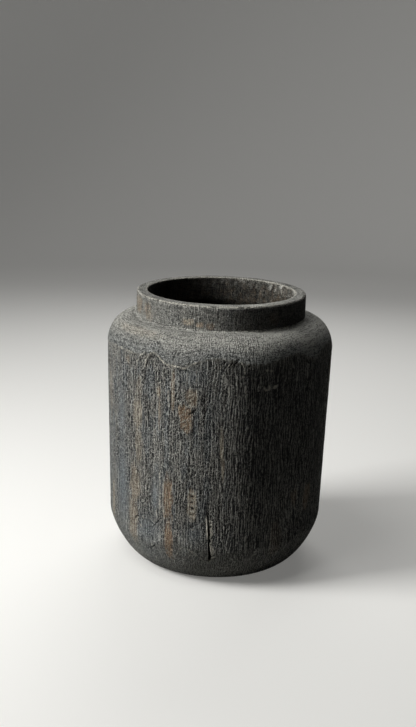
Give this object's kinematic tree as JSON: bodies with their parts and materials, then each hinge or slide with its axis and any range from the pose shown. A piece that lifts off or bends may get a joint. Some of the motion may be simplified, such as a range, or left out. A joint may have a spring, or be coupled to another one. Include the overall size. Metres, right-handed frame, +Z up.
{
  "type": "wooden pot",
  "caption": "Tall open wooden pot turned from one log, with a straight neck, a rounded shoulder, natural fluted sides and a deep hollow.",
  "frame": {"origin": "middle of the flat base, on the axis that the pot was turned about", "axes": "+Z up along the turning axis, out of the mouth; the side with the fissure at its foot, which the picture shows, faces -Y; +X is to the right seen from the front"},
  "size_m": [0.2828, 0.2785, 0.344],
  "materials": {
    "wood": "smoked dark grey-black, dry and matt, rubbed with pale dust on the turned shoulder and worn to bare brown wood on the ridges"
  },
  "bodies": {
    "root": {"pot_body": "wood"}
  },
  "joints": []
}
